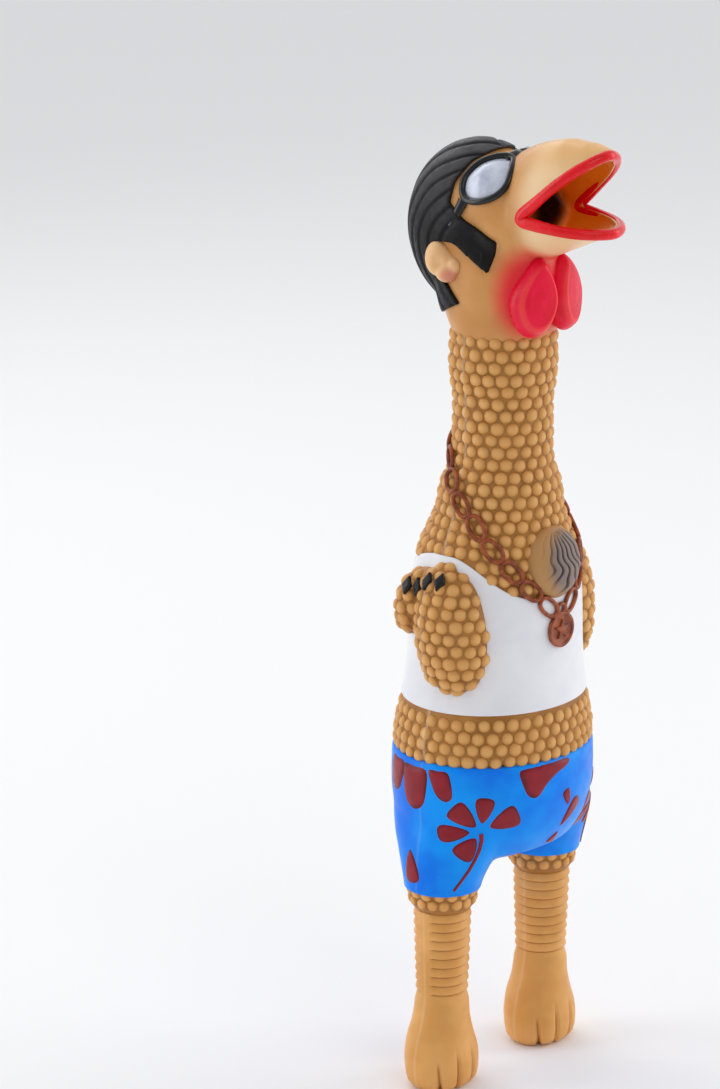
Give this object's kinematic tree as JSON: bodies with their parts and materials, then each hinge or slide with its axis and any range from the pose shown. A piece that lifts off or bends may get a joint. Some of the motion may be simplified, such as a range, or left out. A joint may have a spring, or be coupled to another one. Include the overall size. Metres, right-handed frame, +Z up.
{
  "type": "rubber chicken",
  "caption": "Squeaky latex rubber chicken with open beak, bendable neck, squeezable jaw and dangling legs, moulded with tank top, swimming shorts, chain and sunglasses.",
  "frame": {"origin": "on the ground under the middle of the toy's outline, midway between the beak tip and the back of the hair", "axes": "+Z up along the body, the beak points to -Y, the chicken's own right side is -X"},
  "size_m": [0.07, 0.0771, 0.2902],
  "materials": {
    "tan_latex": "nubbed moulded latex, tan with browner hollows",
    "face_latex": "smooth latex, pale tan",
    "beak_latex": "smooth latex, cream",
    "leg_latex": "smooth latex, caramel",
    "white_paint": "white paint on latex",
    "blue_paint": "azure paint on latex with maroon flowers",
    "black_paint": "charcoal paint on latex",
    "frame_black": "glossy black paint on latex",
    "lens_silver": "silver-blue paint on latex",
    "lip_red": "glossy red paint on latex",
    "mouth_orange": "orange paint on latex, dark in the throat",
    "wattle_red": "crimson paint on latex",
    "tuft_brown": "grey-brown paint on latex",
    "chain_copper": "copper-brown paint on latex",
    "squeaker_plastic": "white polyethylene",
    "reed_film": "translucent polyester film"
  },
  "bodies": {
    "torso": {"torso_shell": "tan_latex", "tank_top": "white_paint", "shorts_shell": "blue_paint", "wing_right": "tan_latex", "wing_left": "tan_latex", "arm_band": "black_paint", "chest_tuft": "tuft_brown", "necklace_links": "chain_copper", "pendant": "chain_copper"},
    "neck": {"neck_shell": "tan_latex", "squeaker_housing": "squeaker_plastic", "squeaker_cap": "squeaker_plastic", "squeaker_grille": "squeaker_plastic", "reed_block": "squeaker_plastic", "reed_clip": "squeaker_plastic"},
    "reed": {"reed": "reed_film"},
    "head": {"head_shell": "face_latex", "upper_beak": "beak_latex", "upper_lip": "lip_red", "mouth_lining": "mouth_orange", "hair": "black_paint", "sunglasses_frame": "frame_black", "lens_right": "lens_silver", "lens_left": "lens_silver", "ear_right": "face_latex", "ear_left": "face_latex", "wattle_right": "wattle_red", "wattle_left": "wattle_red"},
    "jaw": {"lower_beak": "beak_latex", "lower_lip": "lip_red"},
    "leg_right": {"cuff_right": "tan_latex", "shin_right": "leg_latex", "foot_right": "leg_latex"},
    "leg_left": {"cuff_left": "tan_latex", "shin_left": "leg_latex", "foot_left": "leg_latex"}
  },
  "joints": [
    {"name": "neck_bend", "type": "hinge", "parent": "torso", "child": "neck", "pos_m": [0, 0.0055, 0.2045], "axis": [1, 0, 0], "range_deg": [-30, 30], "stiffness_Nm_per_rad": 1.4},
    {"name": "head_tilt", "type": "hinge", "parent": "neck", "child": "head", "pos_m": [0, 0.0055, 0.2295], "axis": [0, 1, 0], "range_deg": [-20, 20], "stiffness_Nm_per_rad": 1.5},
    {"name": "jaw_squeeze", "type": "hinge", "parent": "head", "child": "jaw", "pos_m": [0, -0.0121, 0.2675], "axis": [-1, 0, 0], "range_deg": [0, 35], "stiffness_Nm_per_rad": 0.15},
    {"name": "reed_flex", "type": "hinge", "parent": "neck", "child": "reed", "pos_m": [0, 0.003, 0.2114], "axis": [1, 0, 0], "range_deg": [-4, 4], "stiffness_Nm_per_rad": 0.002},
    {"name": "hip_right", "type": "hinge", "parent": "torso", "child": "leg_right", "pos_m": [-0.0234, 0.0075, 0.05629], "axis": [1, 0, 0], "range_deg": [-25, 25], "stiffness_Nm_per_rad": 0.3},
    {"name": "hip_left", "type": "hinge", "parent": "torso", "child": "leg_left", "pos_m": [0.0234, 0.0075, 0.05629], "axis": [1, 0, 0], "range_deg": [-25, 25], "stiffness_Nm_per_rad": 0.3}
  ]
}
